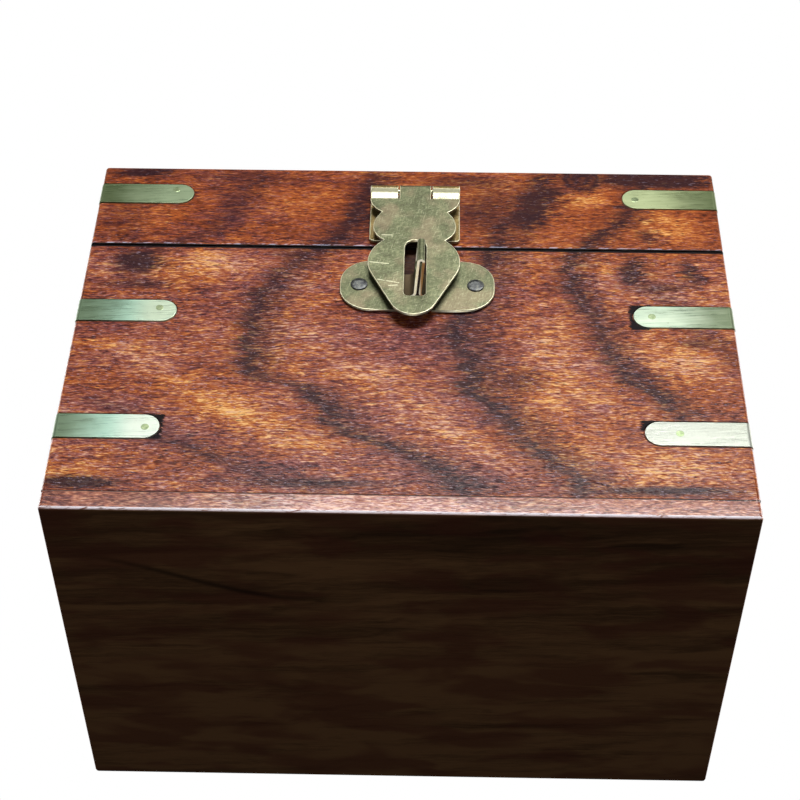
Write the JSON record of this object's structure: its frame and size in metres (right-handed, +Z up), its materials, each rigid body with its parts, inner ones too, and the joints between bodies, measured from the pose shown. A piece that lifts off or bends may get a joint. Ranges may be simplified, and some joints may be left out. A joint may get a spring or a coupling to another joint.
{
  "type": "money box",
  "caption": "Lidded hardwood money box with a coin slot, folded brass corner straps, butt hinges and a scalloped brass hasp that closes over a folded staple for a padlock.",
  "frame": {"origin": "middle of the base board's underside, under the middle of the closed box", "axes": "+Z up, +X to the right along the front, -Y out of the front, where the hasp is"},
  "size_m": [0.1524, 0.1176, 0.1123],
  "materials": {
    "sheesham": "lacquered",
    "sheesham_base": "lacquered",
    "strap_brass": "brushed",
    "hasp_brass": "dull, worn",
    "hinge_brass": "satin",
    "nail_steel": "dull"
  },
  "bodies": {
    "box": {"base_board": "sheesham_base", "front_board": "sheesham", "back_board": "sheesham", "left_board": "sheesham", "right_board": "sheesham", "lower_strap_front_left": "strap_brass", "lower_strap_front_right": "strap_brass", "lower_strap_back_left": "strap_brass", "lower_strap_back_right": "strap_brass", "upper_strap_front_left": "strap_brass", "upper_strap_front_right": "strap_brass", "upper_strap_back_left": "strap_brass", "upper_strap_back_right": "strap_brass", "staple_plate": "hasp_brass", "staple_nail_left": "nail_steel", "staple_nail_right": "nail_steel", "hinge_left_body_leaf": "hinge_brass", "hinge_left_pin": "hinge_brass", "hinge_right_body_leaf": "hinge_brass", "hinge_right_pin": "hinge_brass", "hinge_left_body_leaf_screw_left": "hinge_brass", "hinge_left_body_leaf_screw_right": "hinge_brass", "hinge_right_body_leaf_screw_left": "hinge_brass", "hinge_right_body_leaf_screw_right": "hinge_brass"},
    "lid": {"lid_front_rail": "sheesham", "lid_back_rail": "sheesham", "lid_left_rail": "sheesham", "lid_right_rail": "sheesham", "lid_top_board": "sheesham", "lid_strap_front_left": "strap_brass", "lid_strap_front_right": "strap_brass", "lid_strap_back_left": "strap_brass", "lid_strap_back_right": "strap_brass", "hasp_leaf": "hasp_brass", "hasp_pin": "hasp_brass", "hasp_nail_left": "nail_steel", "hasp_nail_right": "nail_steel", "hinge_left_lid_leaf": "hinge_brass", "hinge_right_lid_leaf": "hinge_brass", "hinge_left_lid_leaf_screw_left": "hinge_brass", "hinge_left_lid_leaf_screw_right": "hinge_brass", "hinge_right_lid_leaf_screw_left": "hinge_brass", "hinge_right_lid_leaf_screw_right": "hinge_brass"},
    "hasp": {"hasp_flap": "hasp_brass"}
  },
  "joints": [
    {"name": "lid_hinge", "type": "hinge", "parent": "box", "child": "lid", "pos_m": [0, 0.0528, 0.0831], "axis": [-1, 0, 0], "range_deg": [0, 175]},
    {"name": "hasp_hinge", "type": "hinge", "parent": "lid", "child": "hasp", "pos_m": [0.0019, -0.05285, 0.1016], "axis": [-1, 0, 0], "range_deg": [0, 165]}
  ]
}
